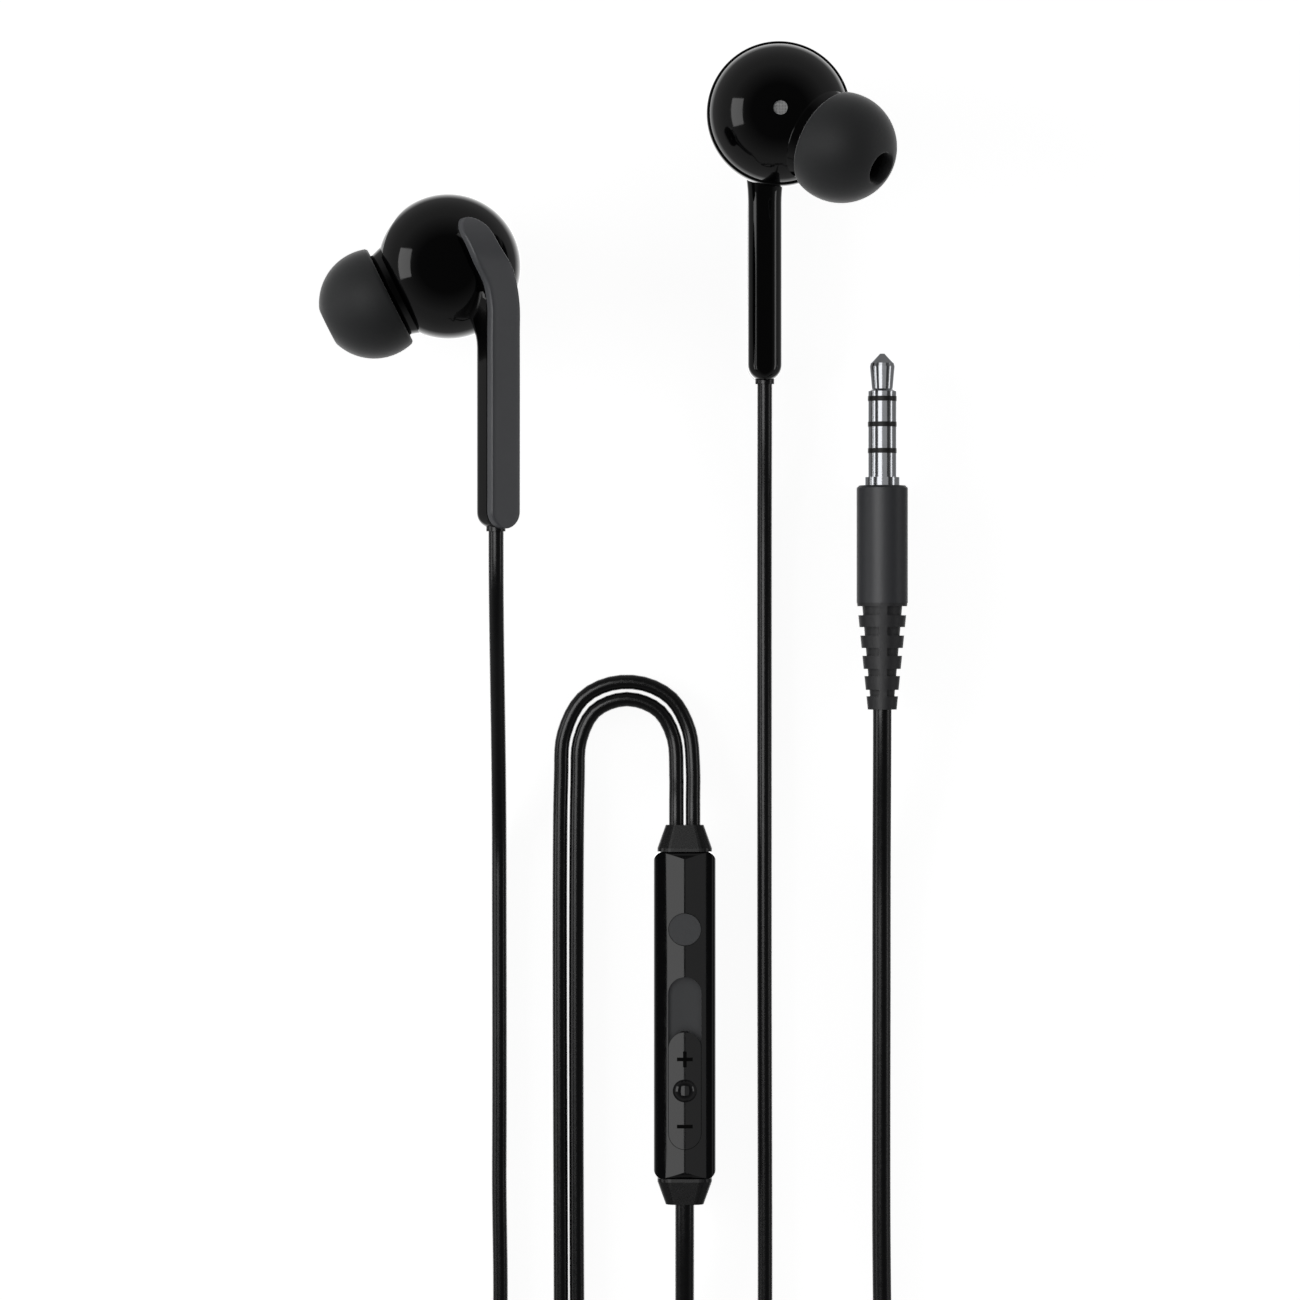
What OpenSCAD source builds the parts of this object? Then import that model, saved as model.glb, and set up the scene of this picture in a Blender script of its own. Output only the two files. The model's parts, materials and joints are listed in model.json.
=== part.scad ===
// Wired in-ear earphones with an inline remote and a 3.5 mm four-pole plug, laid flat.
// Millimetres. Origin: centre of the remote's flat back. +Y towards the ears, +Z up.
// Each earpiece is drawn about its pod's centre: -Y down the stem, +Z the side facing the head.

/* [Earpiece] */
// Radius of the round pod
pod_r = 8.7; // [8.2:0.1:10]
// Wall of the pod's two shells
pod_wall = 0.9; // [0.7:0.05:1.2]
// Step where the inner cover meets the rear shell
seam_step = 0.2; // [0.1:0.05:0.4]
// Height of the seam above the pod's centre
seam_z = 1.5; // [0.5:0.1:2.5]
// Radius of the rear vent in the inner cover
vent_r = 0.9; // [0.5:0.05:1.3]
// Swing of the nozzle towards the head, degrees
nozzle_azimuth = 34.5; // [20:0.5:50]
// Drop of the nozzle below level, degrees
nozzle_drop = 26.5; // [10:0.5:40]

/* [Nozzle and tip] */
// Radius of the neck where it leaves the pod
neck_r = 5.7; // [5.4:0.1:6.2]
// Length of the neck beyond the pod
neck_len = 1.13; // [0.9:0.01:1.6]
// Radius of the nozzle tube
nozzle_r = 1.9; // [1.7:0.05:2.1]
// Radius of the nozzle's sound bore
nozzle_bore_r = 1.4; // [1:0.05:1.5]
// Length of the nozzle tube beyond the neck
nozzle_len = 6.4; // [5:0.1:7]
// Height of the barb that holds the tip
barb_h = 0.25; // [0.15:0.05:0.4]
// Radius of the silicone tip's dome
tip_r = 6.6; // [6:0.1:7.6]
// Wall of the tip's skirt
tip_wall = 0.8; // [0.6:0.05:1.2]
// Wall of the tip's inner sleeve
sleeve_wall = 0.9; // [0.6:0.05:1.1]
// Radius of the tip's sound opening
tip_mouth_r = 2.0; // [1.5:0.05:2.1]
// Gap between the neck's face and the tip's rim
tip_gap = 0.35; // [0.2:0.05:0.8]
// Radial gap between the barb and the tip's sleeve
tip_fit = 0.05; // [0.02:0.01:0.08]

/* [Driver] */
// Radius of the driver's frame
driver_r = 5.0; // [4.5:0.1:5.1]
// Depth of the driver's frame
driver_depth = 2.8; // [2.4:0.1:3.2]
// Radius of the magnet
magnet_r = 2.5; // [2:0.1:2.8]
// Radial air gap on each side of the voice coil
air_gap = 0.15; // [0.1:0.01:0.2]
// Thickness of the voice coil's winding
coil_wall = 0.2; // [0.15:0.01:0.3]
// Thickness of the diaphragm
film = 0.15; // [0.1:0.01:0.2]

/* [Stem] */
// Distance from the pod's centre to the stem's end
stem_len = 31.6; // [26:0.2:38]
// Width of the stem
stem_w = 4.1; // [3.6:0.1:4.8]
// Sideways place of the stem from the pod's centre
stem_x = -1.5; // [-2:0.1:-1]
// Height of the trim plate's face beyond the pod's radius
face_rise = 1.8; // [1.6:0.05:2.2]
// Distance from the pod's centre to the stem's rounded inner side
back_n = 5.75; // [5.2:0.05:6]
// Wall of the stem
stem_wall = 0.8; // [0.6:0.05:1]
// Thickness of the trim plate
trim_t = 1.0; // [0.8:0.05:1.2]

/* [Remote] */
// Length of the remote's body
remote_len = 39.5; // [36:0.5:48]
// Width of the remote's body
remote_w = 7.5; // [7:0.1:9]
// Thickness of the remote's body
remote_t = 5.6; // [5.4:0.1:6.6]
// Wall of the remote's shells
remote_wall = 0.9; // [0.7:0.05:1.1]
// Height of the seam between the remote's shells
remote_seam = 2.2; // [2:0.1:2.4]
// Length of each end collar
collar_len = 3.2; // [2.5:0.1:4.5]
// Width of a collar at the body
collar_w = 6.6; // [5.8:0.1:6.8]
// Width of a collar at the leads
collar_tip_w = 4.6; // [4.4:0.1:5.4]
// Radius of the play button
button_r = 1.93; // [1.6:0.01:2.1]
// Place of the play button along the body
button_y = 10.4; // [9.5:0.1:11.5]
// Stroke of the play button
button_stroke = 0.3; // [0.2:0.05:0.4]
// Gap round the button and the slider
key_gap = 0.06; // [0.04:0.01:0.1]
// Width of the volume slider
slider_w = 3.9; // [3.4:0.1:4.1]
// Length of the volume slider
slider_len = 14.1; // [12:0.1:15]
// Lower end of the slider's slot along the body
slot_y = -16.1; // [-16.5:0.1:-15]
// Travel of the volume slider
slider_travel = 6.6; // [5:0.1:7]
// Radius of the slider's knob
knob_r = 1.4; // [1:0.1:1.6]

/* [Plug] */
// Radius of the plug's shaft
plug_r = 1.75; // [1.7:0.01:1.8]
// Length of the shaft from its collar's face to the point
plug_len = 15.0; // [14:0.1:15.5]
// Radius of the moulded barrel
barrel_r = 3.1; // [2.6:0.1:3.6]
// Length of the moulded barrel
barrel_len = 14.2; // [12:0.2:18]
// Length of the strain relief
relief_len = 12.9; // [10:0.1:16]
// Radius of the strain relief at its end
relief_end_r = 1.75; // [1.5:0.05:2]

/* [Leads] */
// Diameter of each ear lead
ear_lead_d = 1.8; // [1.6:0.1:2]
// Diameter of the main lead
main_lead_d = 2.3; // [2:0.1:2.5]

/* [Hidden] */
$fn = 64;
slack = 0.01;
far = 60;

// Places of the two pods and of the plug
face_n = pod_r + face_rise;
left_pod = [-28.4, 90.1, pod_r];
left_turn = nozzle_azimuth - 180;
right_pod = [11.2, 108.2, face_n];
right_turn = 0;
plug_x = 23.9;
plug_face_y = 65;

// Nozzle, tip and driver, measured from the pod's centre along the nozzle
neck_base = sqrt(pod_r * pod_r - neck_r * neck_r) - 0.2;
neck_front = neck_base + neck_len;
nozzle_end = neck_front + nozzle_len;
tip_rim_rise = 2.15;
skirt_r = tip_r - tip_wall;
neck_lip = min(neck_r - 0.65, sqrt(pow(skirt_r, 2) - pow(tip_rim_rise, 2)) - 0.3);
lip_reach = 0.9;
tip_rear = neck_front + tip_gap;
tip_centre = tip_rear + tip_rim_rise;
tip_front = tip_centre + sqrt(tip_r * tip_r - pow(tip_mouth_r + 0.25, 2));
sleeve_bore = nozzle_r + barb_h + tip_fit;
sleeve_r = sleeve_bore + sleeve_wall;
sleeve_end = nozzle_end + 0.4;
driver_front = 2.0;
driver_rear = driver_front - driver_depth;
pole_r = magnet_r + 0.1;
coil_in = pole_r + air_gap;
coil_out = coil_in + coil_wall;
yoke_in = coil_out + air_gap;
yoke_r = yoke_in + 0.4;
film_z = driver_front - 0.9;
cone_r = driver_r - 0.6;

// Stem
trim_bend_y = -0.8;
trim_round = pod_r - 1.9;
plate_low = pod_r - 0.4;
trim_end = [1.3, 3.2];
bed_low = 5.9;
lead_n = 8.2;
bush_r = 1.15;
bush_out = 0.3;
bed_n = face_n - trim_t;
channel_r = stem_w / 2 - stem_wall;

// Remote
body_mid = remote_t / 2;
skin_z = remote_t - 1.1;
board_t = 0.6;
board_z = remote_seam;
track_t = 0.55;
slider_z = skin_z + key_gap;
crown_r = 8;
slot_end = slot_y + slider_len + slider_travel;
slider_mid = slot_y + slider_len / 2;
lead_pitch = 2.04;

// Main lead's coil
coil_x = 12;
coil_y = -92;
coil_mid_r = 12.5;
coil_cols = 3;
coil_rows = 3;
coil_half = coil_cols * main_lead_d / 2;
ear_z = ear_lead_d / 2;
main_z = main_lead_d / 2;

// Routes of the leads
left_route = [
    [-22.5, 58.2, 14.6], [-22.5, 57.2, 14.6], [-22.5, 52, 14.2], [-22.5, 46, 12], [-22.5, 40, 8.8],
    [-22.5, 34, 5.6], [-22.5, 28, 3], [-22.5, 21, 1.2], [-22.5, 14, ear_z], [-22.5, -18, ear_z], [-22.8, -44, ear_z], [-25.5, -56, ear_z],
    [-29, -67, ear_z], [-29, -74, ear_z], [-25, -79, ear_z], [-19.5, -78.5, ear_z], [-16, -74, ear_z],
    [-15.2, -66, ear_z], [-15, -50, ear_z], [-15, 28, ear_z], [-14.6, 34, ear_z], [-12.4, 38.2, ear_z],
    [-9, 40, ear_z], [-5, 40, ear_z], [-1.6, 38.2, ear_z], [0.5, 34.4, ear_z], [1, 30, 1.4],
    [1, 26, 2.4], [1, 23.95, 2.8], [1, 22.95, 2.8]
];
right_route = [
    [9.7, 76.3, 2.3], [9.7, 75.3, 2.3], [9.7, 70, 2.1], [9.7, 62, 1.3], [9.7, 54, ear_z], [9.7, 10, ear_z],
    [9.7, -44, ear_z],
    [9.4, -55, ear_z], [7.6, -62, ear_z], [3.6, -67, ear_z], [-1.7, -69, ear_z], [-7, -67, ear_z],
    [-11, -62, ear_z], [-12.8, -55, ear_z], [-13, -44, ear_z], [-13, 28, ear_z], [-12.7, 33.2, ear_z],
    [-11, 36.6, ear_z], [-8.2, 38, ear_z], [-5.8, 38, ear_z], [-3, 36.6, ear_z], [-1.3, 33.4, ear_z],
    [-1, 29, 1.5], [-1, 26, 2.4], [-1, 23.95, 2.8], [-1, 22.95, 2.8]
];
start_route = [
    [0, -22.95, 2.8], [0, -23.95, 2.8], [0, -28, 2.7], [0, -34, 2], [0, -41, main_z], [0, -54, main_z],
    [-0.2, -60, 1.8],
    [-0.6, -65, 3], [-1, -69, 3.4], [-1.5, -73, 3], [-2.2, -78, 1.9], [-2.7, -84, main_z], [-2.8, -91, main_z]
];
end_route = [
    [26.8, -91, 5.75], [26.8, -84, 5.2], [26.6, -77, 3.6], [26.2, -70, 2.2], [25.6, -62, main_z],
    [24.8, -52, main_z], [24.1, -40, main_z], [23.9, -28, main_z], [23.9, 6, main_z], [23.9, 16, 1.3],
    [23.9, 24, 2], [23.9, 31, 2.8], [23.9, 35.9, 3.1], [23.9, 36.9, 3.1]
];

// ---- Shared shapes ----

// Turns +Z onto the nozzle's axis
module on_nozzle() {
    rotate([0, -nozzle_azimuth, 0]) rotate([0, 0, -nozzle_drop]) rotate([0, 90, 0]) children();
}

module at_left() {
    translate(left_pod) rotate([0, left_turn, 0]) children();
}

module at_right() {
    translate(right_pod) rotate([0, right_turn, 0]) children();
}

// A ring or a disc from one height to another
module ring(outer, inner, low, high) {
    translate([0, 0, low]) difference() {
        cylinder(r = outer, h = high - low);
        if (inner > 0) translate([0, 0, -1]) cylinder(r = inner, h = high - low + 2);
    }
}

// A flat strip with round ends
module strip(from, to, width) {
    run = to - from;
    translate(from) circle(d = width);
    translate(to) circle(d = width);
    translate(from) rotate(atan2(run[1], run[0])) translate([0, -width / 2]) square([norm(run), width]);
}

// A rounded rectangle made of true arcs
module rounded(w, h, r) {
    square([w - 2 * r, h], center = true);
    square([w, h - 2 * r], center = true);
    for (x = [-1, 1]) for (y = [-1, 1]) translate([x * (w / 2 - r), y * (h / 2 - r)]) circle(r);
}

// ---- Earpiece ----

// Outline of the trim plate, seen from outside
module trim_outline(width) {
    strip([stem_x, -stem_len + stem_w / 2], [stem_x, trim_bend_y], width);
    strip([stem_x, trim_bend_y], trim_end, width);
}

// Everything under a face that is flat along the stem and rounds over the pod
module under_face(drop) {
    rho = trim_round - drop;
    mid = face_n - trim_round;
    turn = acos((bed_low - mid) / rho);
    rotate([90, 0, 90]) linear_extrude(24, center = true) polygon(concat(
        [[-far, -bed_low], [-far, -mid - rho]],
        [for (i = [0:12]) let (a = turn * i / 12) [trim_bend_y + rho * sin(a), -mid - rho * cos(a)]]
    ));
}

// The stem's section, rounded on the side facing the head
module stem_section(r, back, face) {
    translate([stem_x, -back - r]) circle(r);
    translate([stem_x - r, -face]) square([2 * r, face - back - r]);
}

module stem_solid() {
    intersection() {
        rotate([90, 0, 0]) translate([0, 0, -trim_bend_y]) linear_extrude(stem_len + trim_bend_y)
            stem_section(stem_w / 2, back_n, bed_n);
        translate([0, 0, -20]) linear_extrude(40) trim_outline(stem_w);
        translate([-10, 0, 0]) rotate([90, 0, 90]) linear_extrude(20) {
            translate([-stem_len + 1.5, -20]) square([stem_len, 40]);
            translate([-stem_len, -20]) square([stem_len, 20 - back_n - 1.5]);
            translate([-stem_len + 1.5, -back_n - 1.5]) circle(1.5);
        }
    }
}

module rear_shell() {
    difference() {
        union() {
            difference() {
                sphere(pod_r);
                translate([-far / 2, -far / 2, seam_z]) cube(far);
            }
            stem_solid();
            intersection() {
                translate([0, 0, -20]) linear_extrude(20) strip([stem_x, trim_bend_y], trim_end, stem_w);
                under_face(trim_t);
            }
        }
        sphere(pod_r - pod_wall);
        translate([0, 0, -20]) linear_extrude(20 - bed_n)
            strip([stem_x, -stem_len], [stem_x, trim_bend_y], stem_w + 0.02);
        rotate([90, 0, 0]) translate([0, 0, 2.5])
            linear_extrude(stem_len - 2.5 - 1.3) stem_section(channel_r, back_n + stem_wall, bed_n + 1);
        translate([stem_x, -3.6, -bed_n - 1]) cylinder(r = 1.1, h = bed_n - 3);
        translate([stem_x, -stem_len - 1, -lead_n]) rotate([-90, 0, 0]) cylinder(r = bush_r, h = 3);
        translate([stem_x + 0.6, -10.4, -back_n - 2]) cylinder(r = 0.25, h = 3);
        on_nozzle() cylinder(r = neck_r, h = 20);
    }
}

// The cup that seats the driver, the neck and the barbed nozzle, as one turned shape
module nozzle_turning() {
    rotate_extrude() polygon([
        [driver_r, driver_rear], [neck_r, driver_rear], [neck_r, neck_base],
        [neck_lip, neck_front + lip_reach], [neck_lip - 0.6, neck_front + lip_reach],
        [neck_lip - 0.6, neck_front], [nozzle_r, neck_front], [nozzle_r, nozzle_end - 1.6], [nozzle_r + barb_h, nozzle_end - 1.2],
        [nozzle_r + barb_h, nozzle_end - 0.7], [nozzle_r - 0.1, nozzle_end], [nozzle_bore_r, nozzle_end],
        [nozzle_bore_r, neck_front - 1], [driver_r - 0.7, neck_front - 2.4], [driver_r - 0.7, driver_front],
        [driver_r, driver_front]
    ]);
}

module front_shell() {
    on_nozzle() nozzle_turning();
    difference() {
        sphere(pod_r - seam_step);
        sphere(pod_r - pod_wall);
        translate([-far / 2, -far / 2, seam_z - far]) cube(far);
        on_nozzle() translate([0, 0, driver_rear]) cylinder(r = neck_r, h = 20);
        cylinder(r = vent_r, h = 20);
    }
}

module vent_mesh() {
    translate([0, 0, pod_r - seam_step - 0.65]) cylinder(r = vent_r, h = 0.35);
}

module nozzle_mesh() {
    on_nozzle() ring(nozzle_bore_r, 0, nozzle_end - 0.5, nozzle_end - 0.3);
}

module trim_plate() {
    difference() {
        intersection() {
            translate([0, 0, -20]) linear_extrude(20 - plate_low) trim_outline(stem_w);
            under_face(0);
        }
        under_face(trim_t);
    }
}

module driver_frame() {
    on_nozzle() {
        ring(driver_r, yoke_r, driver_rear, driver_rear + 0.8);
        ring(driver_r, cone_r + 0.05, driver_rear + 0.8, driver_front);
    }
}

module driver_yoke() {
    on_nozzle() {
        ring(yoke_r, 0, driver_rear, driver_rear + 0.4);
        ring(yoke_r, yoke_in, driver_rear + 0.4, driver_rear + 1.4);
    }
}

module driver_magnet() {
    on_nozzle() ring(magnet_r, 0, driver_rear + 0.4, driver_rear + 1.1);
}

module pole_plate() {
    on_nozzle() ring(pole_r, 0, driver_rear + 1.1, driver_rear + 1.4);
}

module voice_coil() {
    on_nozzle() ring(coil_out, coil_in, driver_rear + 0.8, film_z);
}

module diaphragm() {
    on_nozzle() difference() {
        union() {
            ring(cone_r, 0, film_z, film_z + film);
            translate([0, 0, film_z + film]) cylinder(r1 = coil_out, r2 = coil_in - 1, h = 0.45);
        }
        translate([0, 0, film_z - slack]) cylinder(r1 = coil_in, r2 = coil_in - 1.2, h = 0.45);
    }
}

module driver_board() {
    on_nozzle() translate([0, 0, driver_rear - 0.4]) linear_extrude(0.4) difference() {
        circle(yoke_r - 0.3);
        for (x = [-1.2, 1.2]) translate([x, 0]) circle(0.3);
    }
}

module lead_bush() {
    translate([stem_x, -stem_len - bush_out, -lead_n]) rotate([-90, 0, 0]) cylinder(r = bush_r, h = bush_out + 1.3);
}

module lead_knot() {
    translate([stem_x, -stem_len + 1.3, -lead_n]) rotate([-90, 0, 0]) {
        cylinder(r = ear_lead_d / 2, h = 8);
        translate([0, 0, 1]) cylinder(r = channel_r - 0.05, h = 2.2);
    }
}

// Domed skirt over a sleeve, joined at the front
module ear_tip() {
    rim_a = asin((tip_rear - tip_centre) / tip_r);
    front_a = asin((tip_front - tip_centre) / tip_r);
    join_a = acos(sleeve_r / skirt_r);
    inner_rim_a = asin((tip_rear - tip_centre) / skirt_r);
    steps = 16;
    on_nozzle() rotate_extrude() polygon(concat(
        [for (i = [0:steps]) let (a = rim_a + (front_a - rim_a) * i / steps)
            [tip_r * cos(a), tip_centre + tip_r * sin(a)]],
        [[tip_mouth_r, tip_front], [tip_mouth_r, sleeve_end], [sleeve_bore, sleeve_end], [sleeve_bore, tip_rear + 0.8],
            [sleeve_r, tip_rear + 0.8]],
        [for (i = [0:steps]) let (a = join_a + (inner_rim_a - join_a) * i / steps)
            [skirt_r * cos(a), tip_centre + skirt_r * sin(a)]]
    ));
}

module left_front_shell() { color("#0a0a0b") at_left() front_shell(); }
module left_rear_shell() { color("#101012") at_left() rear_shell(); }
module left_trim_plate() { color("#3c3d40") at_left() trim_plate(); }
module left_nozzle_mesh() { color("#8a8c90") at_left() nozzle_mesh(); }
module left_vent_mesh() { color("#8a8c90") at_left() vent_mesh(); }
module left_driver_frame() { color("#b0b2b6") at_left() driver_frame(); }
module left_driver_yoke() { color("#9a9ca0") at_left() driver_yoke(); }
module left_driver_magnet() { color("#6c6e72") at_left() driver_magnet(); }
module left_pole_plate() { color("#9a9ca0") at_left() pole_plate(); }
module left_voice_coil() { color("#b06a35") at_left() voice_coil(); }
module left_diaphragm() { color("#c8b890") at_left() diaphragm(); }
module left_driver_board() { color("#2e6b3c") at_left() driver_board(); }
module left_lead_bush() { color("#1a1a1c") at_left() lead_bush(); }
module left_lead_knot() { color("#1a1a1c") at_left() lead_knot(); }
module left_ear_tip() { color("#2c2d2f") at_left() ear_tip(); }

module right_front_shell() { color("#0a0a0b") at_right() front_shell(); }
module right_rear_shell() { color("#101012") at_right() rear_shell(); }
module right_trim_plate() { color("#3c3d40") at_right() trim_plate(); }
module right_nozzle_mesh() { color("#8a8c90") at_right() nozzle_mesh(); }
module right_vent_mesh() { color("#8a8c90") at_right() vent_mesh(); }
module right_driver_frame() { color("#b0b2b6") at_right() driver_frame(); }
module right_driver_yoke() { color("#9a9ca0") at_right() driver_yoke(); }
module right_driver_magnet() { color("#6c6e72") at_right() driver_magnet(); }
module right_pole_plate() { color("#9a9ca0") at_right() pole_plate(); }
module right_voice_coil() { color("#b06a35") at_right() voice_coil(); }
module right_diaphragm() { color("#c8b890") at_right() diaphragm(); }
module right_driver_board() { color("#2e6b3c") at_right() driver_board(); }
module right_lead_bush() { color("#1a1a1c") at_right() lead_bush(); }
module right_lead_knot() { color("#1a1a1c") at_right() lead_knot(); }
module right_ear_tip() { color("#2c2d2f") at_right() ear_tip(); }

// ---- Remote ----

// Outer form: a crowned, round-cornered bar with rounded ends
module remote_solid() {
    intersection() {
        rotate([90, 0, 0]) linear_extrude(remote_len, center = true) intersection() {
            translate([0, body_mid]) rounded(remote_w, remote_t, 2);
            translate([0, remote_t - crown_r]) circle(crown_r);
        }
        translate([0, 0, -1]) linear_extrude(remote_t + 2) rounded(remote_w, remote_len, 1.2);
        rotate([90, 0, 90]) linear_extrude(remote_w + 2, center = true)
            translate([0, body_mid]) rounded(remote_len, remote_t, 0.9);
    }
}

module remote_cavity() {
    long = remote_len - 2 * remote_wall - 1;
    translate([-remote_w / 2 + remote_wall, -long / 2, remote_wall])
        cube([remote_w - 2 * remote_wall, long, skin_z - remote_wall]);
}

module slot_outline(gap) {
    half = slider_w / 2;
    strip([0, slot_y + half], [0, slot_end - half], slider_w + 2 * gap);
}

module slider_outline() {
    half = slider_w / 2;
    strip([0, slot_y + half], [0, slot_y + slider_len - half], slider_w);
}

module remote_back_shell() {
    color("#111113") difference() {
        intersection() {
            remote_solid();
            translate([-far / 2, -far / 2, -1]) cube([far, far, remote_seam + 1]);
        }
        remote_cavity();
        translate([0, button_y + 5.3, -1]) cylinder(r = 0.4, h = 3);
    }
}

module remote_front_shell() {
    color("#0b0b0d") difference() {
        intersection() {
            remote_solid();
            translate([-far / 2, -far / 2, remote_seam]) cube([far, far, remote_t]);
        }
        remote_cavity();
        translate([0, button_y, 0]) cylinder(r = button_r + key_gap, h = 10);
        linear_extrude(10) slot_outline(key_gap);
    }
}

module collar(tip_w) {
    hull() {
        translate([0, remote_len / 2, body_mid]) rotate([-90, 0, 0])
            linear_extrude(0.4) rounded(collar_w, remote_t - 1, 1.6, $fn = 32);
        translate([0, remote_len / 2 + collar_len - 0.2, body_mid]) rotate([-90, 0, 0])
            linear_extrude(0.2) rounded(tip_w, remote_t - 3, 1.2, $fn = 32);
    }
}

module remote_top_collar() { color("#1b1b1d") collar(collar_tip_w); }
module remote_bottom_collar() { color("#1b1b1d") mirror([0, 1, 0]) collar(collar_tip_w); }

module play_button() {
    color("#2f3032") translate([0, button_y, 0]) {
        ring(button_r, 0, skin_z - 0.2, remote_t - 0.15);
        ring(button_r + 0.35, 0, skin_z - 0.5, skin_z - 0.1);
    }
}

module switch_plunger() {
    color("#c9cacc") translate([0, button_y, 0]) ring(0.8, 0, skin_z - 1.1, skin_z - 0.5);
}

module play_switch() {
    color("#55575b") translate([0, button_y, board_z + board_t]) difference() {
        translate([-1.6, -1.6, 0]) cube([3.2, 3.2, skin_z - 0.9 - board_z - board_t]);
        translate([0, 0, skin_z - 1.15 - button_stroke - board_z - board_t]) cylinder(r = 0.85, h = 3);
    }
}

module volume_slider() {
    color("#161618") intersection() {
        remote_solid();
        translate([0, 0, slider_z]) linear_extrude(5) slider_outline();
    }
}

module slider_knob() {
    color("#0c0c0e") translate([0, slider_mid, remote_t]) intersection() {
        translate([0, 0, -0.9]) sphere(knob_r + 0.25);
        translate([-5, -5, -0.15]) cube(10);
    }
}

module slider_track() {
    color("#2c2d2f") translate([0, 0, skin_z - track_t]) difference() {
        translate([-remote_w / 2 + remote_wall, slot_y - 0.6, 0])
            cube([remote_w - 2 * remote_wall, slot_end - slot_y + 1.2, track_t]);
        translate([-0.45, slider_mid - 0.5, -1]) cube([0.9, slider_travel + 1, 5]);
    }
}

module potentiometer_lever() {
    color("#c9cacc") translate([-0.35, slider_mid - 0.4, skin_z - 1.1])
        cube([0.7, 0.8, slider_z - skin_z + 1.1]);
}

module volume_potentiometer() {
    color("#6a6c70") translate([-1.7, slider_mid - 3, board_z + board_t])
        cube([3.4, slider_travel + 6, skin_z - 1.15 - board_z - board_t]);
}

module circuit_board() {
    long = remote_len - 2 * remote_wall - 2;
    color("#1f5a33") translate([-remote_w / 2 + remote_wall, -long / 2, board_z])
        cube([remote_w - 2 * remote_wall, long, board_t]);
}

module microphone() {
    color("#c0c2c6") translate([0, button_y + 5.3, 0]) ring(1.5, 0, remote_wall, board_z);
}

// ---- Plug ----

module at_plug() {
    translate([plug_x, plug_face_y, barrel_r]) rotate([-90, 0, 0]) children();
}

module plug_tip() {
    color("#c9cbcf") at_plug() rotate_extrude() polygon([
        [0, plug_len], [0, plug_len - 5.2], [plug_r, plug_len - 5.2], [plug_r, plug_len - 4.6],
        [plug_r - 0.45, plug_len - 4.3], [plug_r - 0.2, plug_len - 1.6], [plug_r - 0.3, plug_len - 1.2],
        [0.3, plug_len - 0.05]
    ]);
}

module plug_first_ring() { color("#c9cbcf") at_plug() ring(plug_r, 0, plug_len - 8.3, plug_len - 5.8); }
module plug_second_ring() { color("#c9cbcf") at_plug() ring(plug_r, 0, plug_len - 11.5, plug_len - 8.9); }

module plug_sleeve() {
    color("#c9cbcf") at_plug() {
        ring(plug_r, 0, 0, plug_len - 12.1);
        ring(plug_r + 0.4, 0, -1, 0);
    }
}

module plug_insulators() {
    color("#111113") at_plug() for (z = [5.8, 8.9, 12.1]) ring(plug_r, 0, plug_len - z, plug_len - z + 0.6);
}

module plug_barrel() {
    color("#26272a") at_plug() translate([0, 0, -1 - barrel_len]) rotate_extrude() polygon([
        [0, 0], [barrel_r, 0], [barrel_r, barrel_len - 0.3], [barrel_r - 0.3, barrel_len], [0, barrel_len]
    ]);
}

// Tapered sleeve with rows of slots on both sides
module plug_strain_relief() {
    color("#1c1c1e") at_plug() translate([0, 0, -1 - barrel_len - relief_len]) {
        cylinder(r1 = relief_end_r - 0.4, r2 = barrel_r - 0.65, h = relief_len);
        difference() {
            cylinder(r1 = relief_end_r, r2 = barrel_r - 0.05, h = relief_len);
            for (i = [0:4]) for (side = [0, 180]) rotate([0, 0, side])
                translate([0.5, -4, relief_len - 1.5 - 2.45 * i]) cube([8, 8, 1.1 - 0.08 * i]);
        }
    }
}

// ---- Leads ----

// A tube swept along a route
function unit(v) = v / norm(v);
function tangent(p, i) = unit(p[min(i + 1, len(p) - 1)] - p[max(i - 1, 0)]);
function side_of(t) = unit(cross(t, [0, 0, 1]));
function ring_at(p, i, r, n) = let (t = tangent(p, i), s = side_of(t), u = cross(s, t))
    [for (k = [0:n - 1]) p[i] + r * (cos(360 * (k + 0.5) / n) * s + sin(360 * (k + 0.5) / n) * u)];

module tube(route, d) {
    n = 8;
    last = len(route) - 1;
    r = d / 2;
    points = [for (i = [0:last]) each ring_at(route, i, r, n)];
    sides = [for (i = [0:last - 1]) for (k = [0:n - 1])
        [i * n + k, i * n + (k + 1) % n, (i + 1) * n + (k + 1) % n, (i + 1) * n + k]];
    start = [for (k = [0:n - 1]) n - 1 - k];
    finish = [for (k = [0:n - 1]) last * n + k];
    polyhedron(points, concat(sides, [start], [finish]));
}

module left_lead() { color("#1d1d1f") tube(left_route, ear_lead_d); }
module right_lead() { color("#1d1d1f") tube(right_route, ear_lead_d); }
module main_lead_start() { color("#1d1d1f") tube(start_route, main_lead_d); }
module main_lead_end() { color("#1d1d1f") tube(end_route, main_lead_d); }

module coil_form(grow) {
    translate([coil_x, coil_y, 0]) rotate_extrude() translate([coil_mid_r - coil_half - grow, 0])
        square([2 * coil_half + 2 * grow, coil_rows * main_lead_d + grow]);
}

module main_coil() { color("#1d1d1f") coil_form(0); }

module coil_tie() {
    color("#101012") intersection() {
        difference() {
            coil_form(0.6);
            coil_form(0);
        }
        translate([coil_x - 2, coil_y - 20, -1]) cube([4, 20, 20]);
    }
}

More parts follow.
